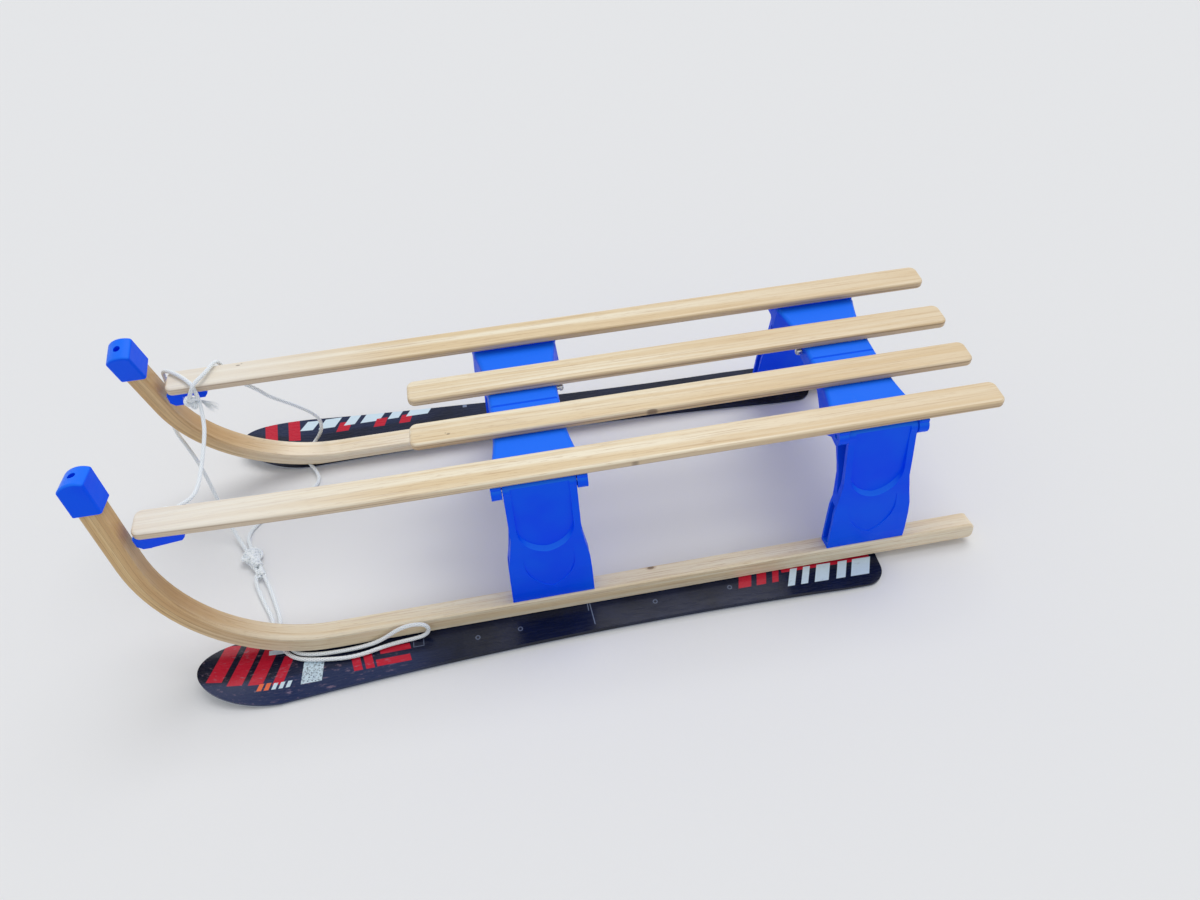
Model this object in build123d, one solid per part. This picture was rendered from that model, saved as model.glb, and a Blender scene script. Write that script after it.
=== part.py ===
from build123d import *
from math import sin, cos, tan, radians, pi
import os

# Folding wooden sled on two short children's skis.
# X runs from front to rear, Y from the near side to the far side, Z up. Millimetres.
# The places below are measured from the middle of the seat, at the level of the skis' soles. The far ski stands a
# little askew, so at the end every piece moves by ORIGIN_Y, which puts the origin under the middle of the whole sled.

# Overall places
REAR_END = 500.0
ORIGIN_Y = 7.0
SEAT_Z = 219.5
SLAT_T = 11.0
SLAT_W = 35.0
INNER_DROP = 4.0
YOKES = {"front": -36.0, "rear": 355.0}
SIDES = {"near": -1, "far": 1}

# Slats: side, distance of the inner edge from the middle, front end, rear end, drop below the outer ones, and how far
# the front end has warped inwards
SLATS = {
    "slat_outer_far": (1, 94.0, -454.0, 499.0, 0.0, 0.0),
    "slat_inner_far": (1, 18.2, -170.0, 497.0, INNER_DROP, 0.0),
    "slat_inner_near": (-1, 18.2, -170.0, 497.0, INNER_DROP, 0.0),
    "slat_outer_near": (-1, 94.0, -458.0, 498.0, 0.0, 7.0),
}
WARP_X = -160.0
SLAT_EDGE_R = 3.6
SLAT_CORNER_R = 9.0

# Runners: bent in one plane that leans inwards towards the top
LEAN = 10.57
RUNNER_W = 25.0
RUNNER_T = 22.0
RUNNER_Y = 151.8
RUNNER_Z = 6.7
BEND_X = -299.0
# The far runner bends a little further back and its end is a little shorter
BEND_SHIFT = {"near": 0.0, "far": 4.5}
END_DROP = {"near": 0.0, "far": 8.0}
BEND_R = 188.0
BEND_DEG = 84.8
RUNNER_TOP = 275.0
RUNNER_EDGE = 1.8

# End caps on the runners
CAP_TOP = 292.0
CAP_LOW = 252.0
CAP_WALL = 3.4
CAP_FRONT_FALL = 9.0
CAP_BACK_FALL = 2.5
CAP_HOLE_R = 4.0
CAP_HOLE_DEEP = 11.0

# Skis
SKI_T = 9.0
SKI_END_T = 4.8
SKI_THIN_X = (-150.0, 250.0)
SKI_TIP_X = -453.0
SKI_TAIL_X = 372.0
SHOVEL_X = -362.0
SHOVEL_Y = 174.0
SHOVEL_HALF = 46.5
WAIST_X = 40.0
WAIST_Y = 168.5
WAIST_HALF = 31.0
TAIL_X = 320.0
TAIL_Y = 165.5
TAIL_HALF = 37.5
TAIL_CORNER = 24.0
TIP_RISE_X = -355.0
TIP_RISE_R = 255.0
# Each ski's place on its runner: moved along X, moved outwards, and turned outwards at the tip, in degrees
SKI_PLACES = {"near": (0.0, 0.0, 0.0), "far": (17.0, 5.0, 1.45)}

# Crossbeam halves
BEAM_TOP = SEAT_Z - SLAT_T - INNER_DROP
BEAM_PLATE = 3.0
BEAM_WALL = 3.0
BEAM_LOW = 175.0
BEAM_DRAFT = 6.0
BEAM_END = 129.0
BUTT_GAP = 0.15

# Hinges
LEG_PIN_Y = 122.0
LEG_PIN_Z = 197.0
LEG_PIN_R = 3.0
CENTRE_PIN_Y = 26.0
CENTRE_PIN_Z = 195.0
CENTRE_PIN_R = 2.5
RUN_FIT = 0.05
LINK_R = 5.0
LINK_HALF = 36.0

# Legs
LEG_TOP_HALF = 40.5
LEG_FOOT_HALF = 49.5
LEG_BOSS_R = 8.6
PANEL_HALF = 32.5
PANEL_TOP = (130.2, 190.0)
PANEL_LOW = (141.8, 112.0)
LEDGE_OUT = 8.0
LEDGE_FALL = 5.0
TONGUE_DEPTH = 0.6
TONGUE_HALF = 29.0
EAR_X = (41.4, 53.0)
EAR_R = 10.4

# Rope, braided: its routes are centre lines. It is tied round the far outer slat, hangs in a bail to the near
# front bracket, and runs in two strands to a knot on the ground, from which a doubled hand loop reaches the near ski
ROPE_R = 2.5
ROPE_FIT = 0.25
ROPES = {
    "rope_bail": [
        (-417, 80.5, 197), (-415.5, 70, 189), (-414, 54, 183.5), (-415, 36, 178), (-416, 14, 173.5), (-416.5, -8, 172),
        (-416, -30, 175), (-417, -47, 181.5), (-420, -60, 189), (-425.5, -71.5, 195.5)],
    "rope_front": [
        (-416, 86, 209), (-414.5, 89.8, 216.5), (-418.5, 95.5, 224.6), (-436, 113, 223.4), (-451, 124.5, 223.6),
        (-460.8, 132.5, 217.5), (-463, 135.5, 205), (-468, 141, 182), (-475.5, 147.5, 157), (-484.5, 146.5, 133),
        (-484, 134.5, 115), (-470, 115, 100), (-457, 93, 84), (-450, 76, 60), (-443, 57, 34), (-434, 37, 12),
        (-424, 18, 6), (-416, 4, 8)],
    "rope_rear": [
        (-434, 86, 209), (-428, 88.5, 219), (-420, 88.5, 228.5), (-411, 97, 230.5), (-403, 116, 223.8),
        (-397, 130, 223.8), (-394, 135.5, 216.5), (-391.5, 134.5, 205), (-387, 126, 202.2), (-379, 116.5, 203),
        (-368, 110, 199), (-357, 112, 186), (-346, 114, 168), (-333, 123, 148), (-321, 136, 122), (-313, 149, 97),
        (-311, 163, 70), (-316, 174, 43), (-322.5, 180, 28), (-329, 182.5, 17), (-335, 180.5, 11.2),
        (-340, 174, 8.9), (-343, 163, 8.2), (-343.5, 152, 8.0), (-340.5, 142, 7.5), (-335.5, 134.5, 7.2),
        (-331, 127, 5.8), (-328.5, 119, 3.8), (-329.5, 109.5, 2.8), (-337, 99, 2.8), (-351, 88.5, 2.8),
        (-378, 73, 2.8),
        (-400, 60, 2.8), (-413, 46, 2.8), (-418.5, 32, 3.4), (-415, 18, 6), (-410, 4, 8)],
    "rope_loop": [
        (-393, -37, 7), (-390, -44, 7), (-386, -54, 3.6), (-378, -77, 2.8), (-370, -103, 2.8), (-367.5, -117, 6.6),
        (-364, -127, 9.2),
        (-357, -146, 8.2), (-350, -157.5, 8.0), (-337, -164.4, 8.1), (-319, -167.6, 8.5), (-295, -169, 8.9),
        (-271, -169, 10.0), (-252, -168.2, 13.2), (-237, -167.6, 21), (-226, -167, 29), (-213, -166.4, 34),
        (-201, -166.4, 34.4), (-191.5, -167, 31.6), (-187.5, -168, 23), (-191.5, -169.4, 14.6),
        (-202, -170.4, 11.4), (-222, -171.3, 10.8), (-242, -173.2, 10.2), (-265, -178.2, 9.8), (-285, -179.6, 9.3),
        (-308, -176.8, 8.7), (-330, -172.8, 8.2), (-346, -167.8, 8.0), (-358, -158, 8.0), (-366, -145, 8.4),
        (-372.5, -127, 9.6), (-376, -117, 6.8),
        (-379, -103, 2.8), (-390, -79, 2.8), (-399, -57, 3.6), (-402, -45, 7), (-402, -36.5, 7)],
}

parts = {}


def on_x(points, half):
    """A prism along X from a closed outline given as (y, z) points."""
    face = make_face(Polyline(*points, close=True).edges())
    return extrude(Plane.YZ * face, half, both=True)


def on_y(points, low, high):
    """A prism along Y from a closed outline given as (x, z) points."""
    face = make_face(Polyline(*points, close=True).edges())
    solid = extrude(Plane.XZ * face, high - low)
    return Pos(0, high, 0) * solid


def rod_x(radius, x0, x1, y, z):
    """A round bar along X."""
    return Pos((x0 + x1) / 2, y, z) * Rot(0, 90, 0) * Cylinder(radius, x1 - x0)


def block(x0, x1, y0, y1, z0, z1):
    return Pos((x0 + x1) / 2, (y0 + y1) / 2, (z0 + z1) / 2) * Box(x1 - x0, y1 - y0, z1 - z0)


def lean(solid):
    """Places a piece of the upright runner frame on the far side."""
    return Pos(0, RUNNER_Y, RUNNER_Z) * Rot(LEAN, 0, 0) * solid


def to_side(solid, side):
    return solid if side > 0 else mirror(solid, about=Plane.XZ)


def one(shape):
    """The single solid of a result."""
    solids = shape.solids()
    return max(solids, key=lambda s: s.volume)


# Slats
def slat_plan(inner, x0, x1, warp):
    """Outline in plan. The stretch in front of WARP_X is an arc that is tangent to the rest."""
    outer = inner + SLAT_W
    if warp == 0.0:
        return make_face(Polyline((x0, inner), (x1, inner), (x1, outer), (x0, outer), close=True).edges())
    mid_x = (x0 + WARP_X) / 2
    return make_face([
        Line((WARP_X, inner), (x1, inner)),
        Line((x1, inner), (x1, outer)),
        Line((x1, outer), (WARP_X, outer)),
        ThreePointArc((WARP_X, outer), (mid_x, outer - warp / 4), (x0, outer - warp)),
        Line((x0, outer - warp), (x0, inner - warp)),
        ThreePointArc((x0, inner - warp), (mid_x, inner - warp / 4), (WARP_X, inner)),
    ])


for name, (side, inner, x0, x1, drop, warp) in SLATS.items():
    slat = Pos(0, 0, SEAT_Z - drop - SLAT_T) * extrude(slat_plan(inner, x0, x1, warp), SLAT_T)
    corners = [e for e in slat.edges().filter_by(Axis.Z) if abs(e.center().X - WARP_X) > 50 or warp == 0.0]
    slat = fillet(corners, SLAT_CORNER_R)
    slat = fillet(slat.edges().group_by(Axis.Z)[-1] + slat.edges().group_by(Axis.Z)[0], SLAT_EDGE_R)
    parts[name] = to_side(one(slat), side)

# Runner, upright in the XZ plane: a flat stretch, one bend, and a short straight end
turn = radians(BEND_DEG)


def bend_point(offset, angle):
    radius = BEND_R - offset
    return (BEND_X - radius * sin(angle), BEND_R - radius * cos(angle))


def end_point(offset, height):
    x, z = bend_point(offset, turn)
    run = (height - z) / sin(turn)
    return (x - run * cos(turn), height)


def runner_face(top, rear=REAR_END, low=0.0, high=RUNNER_T):
    flat_low = (BEND_X, low)
    flat_high = (BEND_X, high)
    edges = [
        Line((rear, low), flat_low),
        ThreePointArc(flat_low, bend_point(low, turn / 2), bend_point(low, turn)),
        Line(bend_point(low, turn), end_point(low, top)),
        Line(end_point(low, top), end_point(high, top)),
        Line(end_point(high, top), bend_point(high, turn)),
        ThreePointArc(bend_point(high, turn), bend_point(high, turn / 2), flat_high),
        Line(flat_high, (rear, high)),
        Line((rear, high), (rear, low)),
    ]
    return make_face(edges)


sole_plane = block(-700, 700, 0, 300, -50, SKI_T)


def runner_solid(shift, drop):
    """A runner whose bend lies further back by a shift and whose end is lower by a drop."""
    bar = extrude(Plane.XZ * runner_face(RUNNER_TOP - drop, REAR_END - shift), RUNNER_W / 2, both=True)
    bar = fillet(bar.edges().filter_by(Axis.Y).group_by(Axis.X)[-1], 7.5)
    bar = chamfer([e for e in bar.edges() if e.length > 80], RUNNER_EDGE)
    return Pos(shift, 0, 0) * one(lean(bar) - sole_plane)


# End cap: an open box over the runner's end with an arched top and a hole for the rope
cap_x0 = end_point(0, CAP_LOW)[0]
front_low = end_point(-CAP_WALL, CAP_LOW)
front_high = end_point(-CAP_WALL, CAP_TOP - CAP_FRONT_FALL)
back_low = end_point(RUNNER_T + CAP_WALL, CAP_LOW)
back_high = end_point(RUNNER_T + CAP_WALL, CAP_TOP - CAP_BACK_FALL)
mid_top = ((front_high[0] + back_high[0]) / 2, CAP_TOP)
cap_face = make_face([
    Line(front_low, front_high),
    ThreePointArc(front_high, mid_top, back_high),
    Line(back_high, back_low),
    Line(back_low, front_low),
])
cap = extrude(Plane.XZ * cap_face, RUNNER_W / 2 + CAP_WALL, both=True)
cap_edges = cap.edges() - cap.edges().group_by(Axis.Z)[0]
cap = fillet(cap_edges, 3.0)
core = extrude(Plane.XZ * runner_face(RUNNER_TOP), RUNNER_W / 2, both=True)
cap = cap - core
hole_axis_x = mid_top[0]
cap_hole = Pos(hole_axis_x, 0, CAP_TOP - CAP_HOLE_DEEP / 2 + 0.5) * Cylinder(CAP_HOLE_R, CAP_HOLE_DEEP + 1.0)
cap_solid = cap - cap_hole

# Ski, far side: plan outline with shovel, waist and tail, cut through a side profile with a raised tip
plan = make_face([
    EllipticalCenterArc((SHOVEL_X, SHOVEL_Y), SHOVEL_X - SKI_TIP_X, SHOVEL_HALF, start_angle=90, arc_size=180),
    ThreePointArc((SHOVEL_X, SHOVEL_Y - SHOVEL_HALF), (WAIST_X, WAIST_Y - WAIST_HALF),
                  (TAIL_X, TAIL_Y - TAIL_HALF)),
    Line((TAIL_X, TAIL_Y - TAIL_HALF), (SKI_TAIL_X - TAIL_CORNER, TAIL_Y - TAIL_HALF)),
    ThreePointArc((SKI_TAIL_X - TAIL_CORNER, TAIL_Y - TAIL_HALF),
                  (SKI_TAIL_X - TAIL_CORNER * 0.293, TAIL_Y - TAIL_HALF + TAIL_CORNER * 0.293),
                  (SKI_TAIL_X, TAIL_Y - TAIL_HALF + TAIL_CORNER)),
    Line((SKI_TAIL_X, TAIL_Y - TAIL_HALF + TAIL_CORNER), (SKI_TAIL_X, TAIL_Y + TAIL_HALF - TAIL_CORNER)),
    ThreePointArc((SKI_TAIL_X, TAIL_Y + TAIL_HALF - TAIL_CORNER),
                  (SKI_TAIL_X - TAIL_CORNER * 0.293, TAIL_Y + TAIL_HALF - TAIL_CORNER * 0.293),
                  (SKI_TAIL_X - TAIL_CORNER, TAIL_Y + TAIL_HALF)),
    Line((SKI_TAIL_X - TAIL_CORNER, TAIL_Y + TAIL_HALF), (TAIL_X, TAIL_Y + TAIL_HALF)),
    ThreePointArc((TAIL_X, TAIL_Y + TAIL_HALF), (WAIST_X, WAIST_Y + WAIST_HALF),
                  (SHOVEL_X, SHOVEL_Y + SHOVEL_HALF)),
])
ski_plan = extrude(plan, 60)
reach = TIP_RISE_X - SKI_TIP_X + 5
tip_turn = reach / TIP_RISE_R


def tip_point(radius, angle):
    return (TIP_RISE_X - radius * sin(angle), TIP_RISE_R - radius * cos(angle))


side_face = make_face([
    Line((SKI_TAIL_X + 5, 0), (TIP_RISE_X, 0)),
    ThreePointArc((TIP_RISE_X, 0), tip_point(TIP_RISE_R, tip_turn / 2), tip_point(TIP_RISE_R, tip_turn)),
    Line(tip_point(TIP_RISE_R, tip_turn), tip_point(TIP_RISE_R - 4.6, tip_turn)),
    ThreePointArc(tip_point(TIP_RISE_R - 4.6, tip_turn), tip_point(TIP_RISE_R - 5.0, tip_turn / 2),
                  (TIP_RISE_X, SKI_END_T)),
    Line((TIP_RISE_X, SKI_END_T), (SKI_THIN_X[0], SKI_T)),
    Line((SKI_THIN_X[0], SKI_T), (SKI_THIN_X[1], SKI_T)),
    Line((SKI_THIN_X[1], SKI_T), (SKI_TAIL_X + 5, SKI_END_T)),
    Line((SKI_TAIL_X + 5, SKI_END_T), (SKI_TAIL_X + 5, 0)),
])
ski_side = Pos(0, 300, 0) * extrude(Plane.XZ * side_face, 300)
ski_far = one(ski_plan & ski_side)

for side_name, side in SIDES.items():
    shift = BEND_SHIFT[side_name]
    drop = END_DROP[side_name]
    ski_x, ski_y, ski_turn = SKI_PLACES[side_name]
    parts["runner_" + side_name] = to_side(runner_solid(shift, drop), side)
    cap_low = Pos(end_point(0, RUNNER_TOP - drop)[0] - end_point(0, RUNNER_TOP)[0] + shift, 0, -drop) * cap_solid
    parts["end_cap_" + side_name] = to_side(one(lean(cap_low)), side)
    parts["ski_" + side_name] = to_side(Pos(ski_x, ski_y, 0) * Rot(0, 0, -ski_turn) * ski_far, side)

# Front brackets: under the outer slats' front ends, behind the runners' bends. Each has a block in front and a small one
# behind, joined by a plate under the slat and by a wall on the outer side
BRACKETS = {"near": (-459.5, 90.0), "far": (-454.5, 97.0)}
BRACKET_W = 29.0
BRACKET_WALL = 4.0
bracket_low = SEAT_Z - SLAT_T
for side_name, (x, y) in BRACKETS.items():
    bracket = on_y([(x, bracket_low), (x, 196.0), (x + 5, 191.0), (x + 14, 191.0), (x + 17, 203.5), (x + 30, 203.5),
                    (x + 32, 198.5), (x + 42, 198.5), (x + 46, 203.5), (x + 46, bracket_low)], y, y + BRACKET_W)
    wall = on_y([(x, bracket_low), (x, 196.0), (x + 8, 191.5), (x + 14, 191.5), (x + 46, 195.8), (x + 50, 200.0),
                 (x + 50, bracket_low)], y + BRACKET_W - BRACKET_WALL, y + BRACKET_W)
    parts["front_bracket_" + side_name] = to_side(one(bracket + wall), SIDES[side_name])

# Crossbeam half, far side, about x = 0: a channel that is narrow in the middle and widens to the outer end
drafted = BEAM_TOP - BEAM_LOW
spread = drafted * tan(radians(BEAM_DRAFT))


def beam_outline(inset, y0, y1):
    """Half widths at the low edge of the walls, less an inset."""
    near = 41.0 + spread - inset
    mid = 43.6 + spread - inset
    wide = 50.8 + spread - inset
    end = 52.0 + spread - inset
    return make_face([
        Line((-near, y0), (near, y0)),
        Line((near, y0), (near, 25)),
        ThreePointArc((near, 25), (mid, 62), (wide, 97)),
        Line((wide, 97), (end, y1)),
        Line((end, y1), (-end, y1)),
        Line((-end, y1), (-wide, 97)),
        ThreePointArc((-wide, 97), (-mid, 62), (-near, 25)),
        Line((-near, 25), (-near, y0)),
    ])


outer = extrude(Pos(0, 0, BEAM_LOW) * beam_outline(0.0, -20, BEAM_END + 20), drafted, taper=BEAM_DRAFT)
top_edges = [e for e in outer.edges().group_by(Axis.Z)[-1] if abs(e.center().X) > 20]
outer = fillet(top_edges, 5.5)
inner = extrude(Pos(0, 0, BEAM_LOW - 1) * beam_outline(BEAM_WALL, -30, BEAM_END + 30), drafted - BEAM_PLATE + 1,
                taper=BEAM_DRAFT)
pad_top = SEAT_Z - SLAT_T
pad = extrude(Pos(0, 0, BEAM_TOP - 6) * beam_outline(spread + 1.0, -20, BEAM_END + 20), pad_top - BEAM_TOP + 6)
pad = pad & block(-90, 90, 100, BEAM_END, 0, 300)
channel = (outer + pad - inner) & block(-90, 90, BUTT_GAP, BEAM_END, 0, 300)
# The walls are low at the middle, deep between, and end in round ears on the leg pins
elevation = on_x([(BUTT_GAP, 195.0), (BUTT_GAP + 1.9, 186.5), (36, 186.5), (58, BEAM_LOW), (97, BEAM_LOW),
                  (112, 186.0), (126, 186.0), (131, 191.0), (131, 230.0), (BUTT_GAP + 1.3, 230.0),
                  (BUTT_GAP + 1.3, BEAM_TOP), (BUTT_GAP, BEAM_TOP - 1.6)], 90)
channel = channel & elevation
ears = rod_x(EAR_R, EAR_X[0], EAR_X[1], LEG_PIN_Y, LEG_PIN_Z)
ears = ears + block(EAR_X[0], EAR_X[1], LEG_PIN_Y - EAR_R, BEAM_END, LEG_PIN_Z, pad_top)
ears = ears + mirror(ears, about=Plane.YZ)
leg_room = block(-EAR_X[0], EAR_X[0], 110.0, 140.0, 180.0, 230.0)
channel = channel + ears - leg_room
bores = rod_x(LEG_PIN_R, -70, 70, LEG_PIN_Y, LEG_PIN_Z) + rod_x(CENTRE_PIN_R, -70, 70, CENTRE_PIN_Y, CENTRE_PIN_Z)
beam_far = one(channel - bores)

# Leg, far side, about x = 0: two skins that meet at a waist, a foot and a boss round the leg pin
skin = on_x([(157.5, 27.0), (156.8, 45.0), (153.5, 75.0), (148.5, 103.0), (146.0, 120.0), (139.0, 155.0),
             (131.4, 188.0), (130.5, 196.0), (122.0, 204.0), (113.6, 196.0), (112.0, 193.0), (112.0, 190.0),
             (126.4, 186.0), (132.2, 155.0), (137.6, 122.0), (138.4, 112.0), (137.5, 112.0), (119.5, 145.0),
             (90.6, 199.5), (85.0, 199.5),
             (84.0, 196.0), (115.0, 143.0), (132.0, 104.0), (136.5, 62.0), (139.3, 24.0)], 60)
hollow = on_x([(142.3, 33.0), (153.3, 35.0), (150.0, 74.0), (144.8, 98.0), (136.6, 98.0), (140.0, 62.0)], 70)
boss = rod_x(LEG_BOSS_R, -60, 60, LEG_PIN_Y, LEG_PIN_Z)
leg_outline = on_y([(-LEG_TOP_HALF, 215), (-LEG_TOP_HALF, 132), (-LEG_TOP_HALF - 3, 112), (-LEG_FOOT_HALF + 2, 90),
                    (-LEG_FOOT_HALF + 1, 70), (-LEG_FOOT_HALF, 20), (LEG_FOOT_HALF, 20), (LEG_FOOT_HALF - 1, 70),
                    (LEG_FOOT_HALF - 2, 90), (LEG_TOP_HALF + 3, 112), (LEG_TOP_HALF, 132), (LEG_TOP_HALF, 215)],
                   60, 180)
web = on_x([(157.0, 32.0), (148.0, 103.0), (140.0, 122.0), (129.0, 190.0), (112.0, 192.0), (90.0, 198.0),
            (84.5, 197.0), (115.0, 143.0), (132.0, 104.0), (136.5, 62.0), (140.0, 30.0)], 1.8)
# On the outer face a recessed panel ends below in a sloping ledge, and a shallow tongue runs down the foot


def sloping_plane(high, low):
    """A plane through two (y, z) points and along X, looking outwards, with its origin at the low point."""
    up = Vector(0, high[0] - low[0], high[1] - low[1]).normalized()
    out = Vector(0, up.Z, -up.Y)
    return Plane(origin=Vector(0, low[0], low[1]), x_dir=(-1, 0, 0), z_dir=out)


def u_shape(half, top, bottom, turn, fullness):
    """A U outline, open at the top, whose sides start to turn in at one height and meet at the bottom."""
    waist = bottom + (turn - bottom) * 0.3
    return make_face([
        Line((-half, top), (-half, turn)),
        ThreePointArc((-half, turn), (-half * fullness, waist), (0, bottom)),
        ThreePointArc((0, bottom), (half * fullness, waist), (half, turn)),
        Line((half, turn), (half, top)),
        Line((half, top), (-half, top)),
    ])


# The panel's floor is more upright than the face round it, so its lower end is a ledge that faces upwards
ledge = Vector(0, LEDGE_OUT, -LEDGE_FALL)
panel = extrude(sloping_plane(PANEL_TOP, PANEL_LOW) * u_shape(PANEL_HALF, 98.0, 0.0, 40.0, 0.72), ledge.length * 1.6,
                dir=ledge.normalized())
tongue = Pos(0, -TONGUE_DEPTH, 0) * extrude(
    sloping_plane((148.5, 103.0), (156.8, 45.0)) * u_shape(TONGUE_HALF, 62.0, 5.0, 58.0, 0.7), 8.0)
leg = (skin - hollow + boss + web) & leg_outline
leg = leg - panel - tongue
# The foot stands flat on the leaning top face of the runner
runner_bar = lean(extrude(Plane.XZ * runner_face(RUNNER_TOP), RUNNER_W / 2, both=True))
leg_far = one(leg - rod_x(LEG_PIN_R + RUN_FIT, -80, 80, LEG_PIN_Y, LEG_PIN_Z) - runner_bar)

# Centre link, about x = 0
link_face = make_face([
    Line((-CENTRE_PIN_Y, CENTRE_PIN_Z - LINK_R), (CENTRE_PIN_Y, CENTRE_PIN_Z - LINK_R)),
    ThreePointArc((CENTRE_PIN_Y, CENTRE_PIN_Z - LINK_R), (CENTRE_PIN_Y + LINK_R, CENTRE_PIN_Z),
                  (CENTRE_PIN_Y, CENTRE_PIN_Z + LINK_R)),
    Line((CENTRE_PIN_Y, CENTRE_PIN_Z + LINK_R), (-CENTRE_PIN_Y, CENTRE_PIN_Z + LINK_R)),
    ThreePointArc((-CENTRE_PIN_Y, CENTRE_PIN_Z + LINK_R), (-CENTRE_PIN_Y - LINK_R, CENTRE_PIN_Z),
                  (-CENTRE_PIN_Y, CENTRE_PIN_Z - LINK_R)),
])
link = extrude(Plane.YZ * link_face, LINK_HALF, both=True)
for side in (-1, 1):
    link = link - rod_x(CENTRE_PIN_R + RUN_FIT, -60, 60, side * CENTRE_PIN_Y, CENTRE_PIN_Z)
link = one(link)

# Pins: plain rods in the legs, headed rods in the middle with the heads facing each other along the sled
leg_pin = rod_x(LEG_PIN_R, -51.0, 51.0, LEG_PIN_Y, LEG_PIN_Z)
centre_pin = rod_x(CENTRE_PIN_R, -40.0, 44.0, CENTRE_PIN_Y, CENTRE_PIN_Z)
head = rod_x(3.2, 42.6, 46.0, CENTRE_PIN_Y, CENTRE_PIN_Z) + rod_x(4.6, 45.5, 50.0, CENTRE_PIN_Y, CENTRE_PIN_Z)
head = fillet(head.edges().group_by(Axis.X)[-1], 3.2)
centre_pin = one(centre_pin + head)

for yoke, x in YOKES.items():
    for side_name, side in SIDES.items():
        tag = yoke + "_" + side_name
        parts["crossbeam_" + tag] = Pos(x, 0, 0) * to_side(beam_far, side)
        parts["leg_" + tag] = Pos(x, 0, 0) * to_side(leg_far, side)
        parts["leg_pin_" + tag] = Pos(x, 0, 0) * to_side(leg_pin, side)
        pin = centre_pin if yoke == "front" else mirror(centre_pin, about=Plane.YZ)
        parts["centre_pin_" + tag] = Pos(x, 0, 0) * to_side(pin, side)
    parts["centre_link_" + yoke] = Pos(x, 0, 0) * link

# Knots, each a plain rounded lump with room for the strands that end on it


def lump(radius, height, rounding, place, grow):
    solid = Cylinder(radius + grow, height + 2 * grow)
    return place * fillet(solid.edges().filter_by(GeomType.CIRCLE), rounding)


def slat_knot(x, y, z, grow=0.0):
    """A knot beside an outer slat."""
    return lump(11.0, 15.0, 6.5, Pos(x, y, z) * Rot(90, 0, 0), grow)


def hand_knot(grow=0.0):
    """The gather knot on the ground with the small knot under it, from which the hand loop starts."""
    big = lump(16.0, 16.5, 7.6, Pos(-408, -8, 8.6), grow)
    small = lump(7.4, 12.5, 5.6, Pos(-396.5, -34.5, 6.8), grow)
    start = Vector(-404, -17, 7)
    neck = Plane(origin=start, z_dir=Vector(-397, -31, 7) - start) * Cylinder(5.0 + grow, 18.0)
    return big + small + neck


def corner_radii(route):
    """For each corner, the largest arc that leaves a little of both runs straight."""
    radii = []
    for before, here, after in zip(route, route[1:], route[2:]):
        run_in = Vector(here) - Vector(before)
        run_out = Vector(after) - Vector(here)
        half_turn = radians(run_in.get_angle(run_out)) / 2
        radii.append(0.45 * min(run_in.length, run_out.length) / tan(half_turn))
    return radii


knots = {
    "rope_knot_far": slat_knot(-425, 85.4, 203),
    "rope_knot_near": slat_knot(-432, -78.2, 199),
    "rope_knot_hand": hand_knot(),
}
knot_room = slat_knot(-425, 85.4, 203, ROPE_FIT) + slat_knot(-432, -78.2, 199, ROPE_FIT) + hand_knot(ROPE_FIT)
for name, solid in knots.items():
    parts[name] = one(solid)
for name, route in ROPES.items():
    radii = corner_radii(route)
    path = FilletPolyline(*route, radius=radii)
    start = Plane(origin=path @ 0, z_dir=path % 0)
    tube = sweep(start * Circle(ROPE_R), path=path)
    length = path.length
    share = tube.volume / (pi * ROPE_R ** 2 * length)
    print(name, "length", round(length), "volume share", round(share, 3), "radii", [round(r, 1) for r in radii])
    parts[name] = one(tube - knot_room)

os.makedirs("parts", exist_ok=True)
for name, solid in parts.items():
    solid = Pos(0, -ORIGIN_Y, 0) * one(solid)
    parts[name] = solid
    solid.label = name
    export_step(solid, "parts/" + name + ".step")
low = [min(p.bounding_box().min.X for p in parts.values()), min(p.bounding_box().min.Y for p in parts.values()),
       min(p.bounding_box().min.Z for p in parts.values())]
high = [max(p.bounding_box().max.X for p in parts.values()), max(p.bounding_box().max.Y for p in parts.values()),
        max(p.bounding_box().max.Z for p in parts.values())]
print("box", [round(v, 2) for v in low], [round(v, 2) for v in high], "pieces", len(parts))
for name, solid in parts.items():
    print(name, "solids", len(solid.solids()), "volume", round(solid.volume), "valid", solid.is_valid)
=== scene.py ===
import math
import random

import bmesh
import bpy
import numpy as np
from mathutils import Matrix, Vector


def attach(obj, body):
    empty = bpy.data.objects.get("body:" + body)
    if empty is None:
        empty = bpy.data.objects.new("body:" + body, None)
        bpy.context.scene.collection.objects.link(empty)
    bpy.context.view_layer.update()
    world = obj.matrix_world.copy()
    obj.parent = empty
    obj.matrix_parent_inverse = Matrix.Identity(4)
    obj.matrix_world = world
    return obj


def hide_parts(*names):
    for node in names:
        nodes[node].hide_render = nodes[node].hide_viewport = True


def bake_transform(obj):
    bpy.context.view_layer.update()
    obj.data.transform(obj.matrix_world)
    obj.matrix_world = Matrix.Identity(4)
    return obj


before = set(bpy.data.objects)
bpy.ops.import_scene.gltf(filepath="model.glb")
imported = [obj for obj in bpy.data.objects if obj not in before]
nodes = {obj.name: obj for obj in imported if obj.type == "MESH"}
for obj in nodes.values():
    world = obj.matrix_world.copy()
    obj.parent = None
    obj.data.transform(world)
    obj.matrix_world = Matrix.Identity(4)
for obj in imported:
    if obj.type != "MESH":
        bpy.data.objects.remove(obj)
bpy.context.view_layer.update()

# Camera, from the photograph: place, axes and focal length over a 36 mm wide sensor
CAM_PLACE = (-0.062, -0.756, 0.937)
CAM_RIGHT = (0.98279, -0.18222, -0.03019)
CAM_UP = (0.15511, 0.72547, 0.67054)
CAM_FORWARD = (0.10028, 0.66369, -0.74126)
cam_data = bpy.data.cameras.new("camera")
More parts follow.
